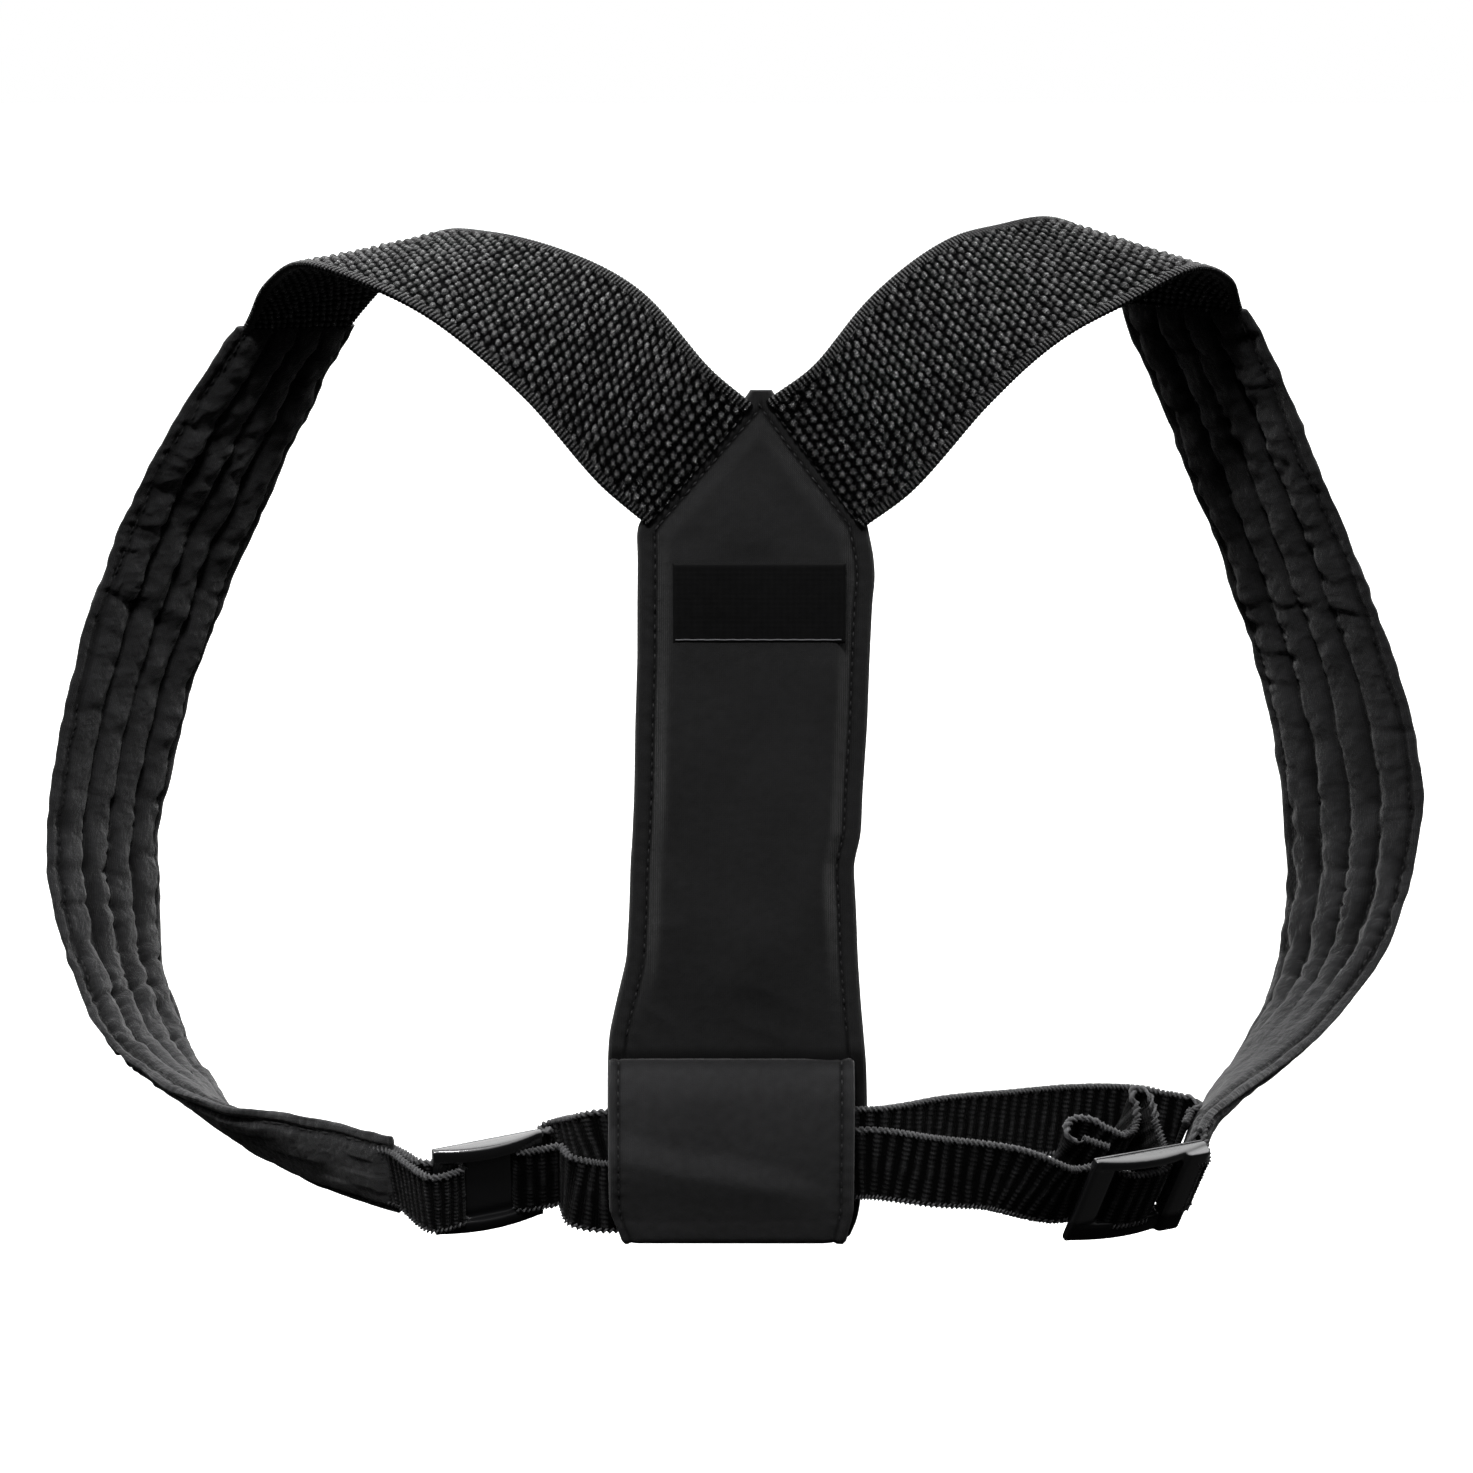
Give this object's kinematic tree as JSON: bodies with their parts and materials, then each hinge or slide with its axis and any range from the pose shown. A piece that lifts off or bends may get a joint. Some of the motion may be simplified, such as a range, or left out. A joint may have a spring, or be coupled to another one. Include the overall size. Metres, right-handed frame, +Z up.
{
  "type": "posture corrector",
  "caption": "Back brace in its worn form: padded back panel, elastic shoulder straps that become quilted loops, and a webbing belt with plastic buckles.",
  "frame": {"origin": "on the body side of the back panel, on its centre line, level with the middle of the V where the elastic straps meet", "axes": "+X towards the wearer's right arm, +Y towards the front of the body, +Z up"},
  "size_m": [0.4946, 0.1759, 0.3352],
  "materials": {
    "panel_cloth": "matte",
    "tunnel_cloth": "matte",
    "label_weave": "satin",
    "elastic_weave": "matte",
    "quilted_cloth": "matte",
    "black_plastic": "gloss",
    "belt_weave": "matte"
  },
  "bodies": {
    "root": {"back_panel": "panel_cloth", "belt_tunnel": "tunnel_cloth", "woven_label": "label_weave", "elastic_strap_left": "elastic_weave", "elastic_strap_right": "elastic_weave", "padded_strap_left": "quilted_cloth", "padded_strap_right": "quilted_cloth", "left_buckle": "black_plastic", "right_slider": "black_plastic", "webbing_tab_left": "belt_weave", "webbing_tab_right": "belt_weave", "belt_webbing": "belt_weave"}
  },
  "joints": []
}
